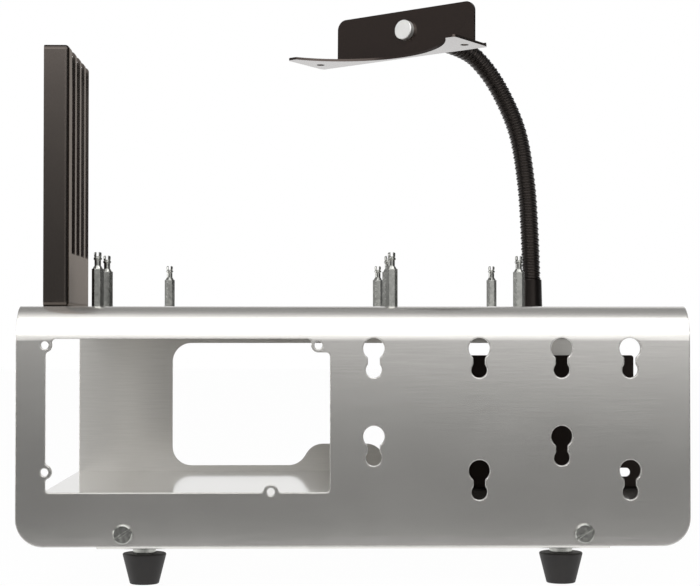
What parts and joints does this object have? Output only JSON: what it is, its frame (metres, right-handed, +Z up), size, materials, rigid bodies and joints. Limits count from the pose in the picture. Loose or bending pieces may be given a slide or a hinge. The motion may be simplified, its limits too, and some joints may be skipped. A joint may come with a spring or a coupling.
{
  "type": "open air test bench",
  "caption": "Open bench for a bare microATX board: a folded aluminium body on rubber feet with board posts, a card bracket and a fan plate on a flexible arm.",
  "frame": {"origin": "on the floor under the middle of the body", "axes": "+X to the right along the front panel, +Y from the front panel to the rear panel, +Z up"},
  "size_m": [0.341, 0.2718, 0.3236],
  "materials": {
    "satin_aluminium": "fine brushed and clear anodised",
    "black_powder_coat": "satin black powder coat",
    "black_metal": "satin black",
    "zinc_plate": "bright zinc plate",
    "turned_aluminium": "turned and anodised",
    "black_rubber": "matt moulded rubber"
  },
  "bodies": {
    "bench": {"arm_base_ferrule": "black_metal", "arm_base_nut": "zinc_plate", "arm_base_washer": "zinc_plate", "arm_end_fitting": "black_metal", "board_post_1": "zinc_plate", "board_post_2": "zinc_plate", "board_post_3": "zinc_plate", "board_post_4": "zinc_plate", "board_post_5": "zinc_plate", "board_post_6": "zinc_plate", "board_post_7": "zinc_plate", "board_post_8": "zinc_plate", "body_shell": "satin_aluminium", "bracket_nuts": "zinc_plate", "bracket_screws": "zinc_plate", "card_bracket": "black_powder_coat", "clamp_knob": "turned_aluminium", "drive_plate": "black_powder_coat", "drive_plate_nuts": "zinc_plate", "drive_plate_screws": "zinc_plate", "flexible_arm": "black_metal", "floor_tray": "satin_aluminium", "foot_front_left": "black_rubber", "foot_front_right": "black_rubber", "foot_nuts": "zinc_plate", "foot_rear_left": "black_rubber", "foot_rear_right": "black_rubber", "foot_screws": "zinc_plate", "foot_spacers": "zinc_plate", "post_nuts": "zinc_plate", "tray_nuts": "zinc_plate", "tray_screws": "zinc_plate"},
    "fan_holder": {"fan_plate": "black_powder_coat"}
  },
  "joints": [
    {"name": "fan_plate_swivel", "type": "hinge", "parent": "bench", "child": "fan_holder", "pos_m": [0.03555, 0.04152, 0.31037], "axis": [0.6164, 0.7861, -0.0471], "continuous": true}
  ]
}
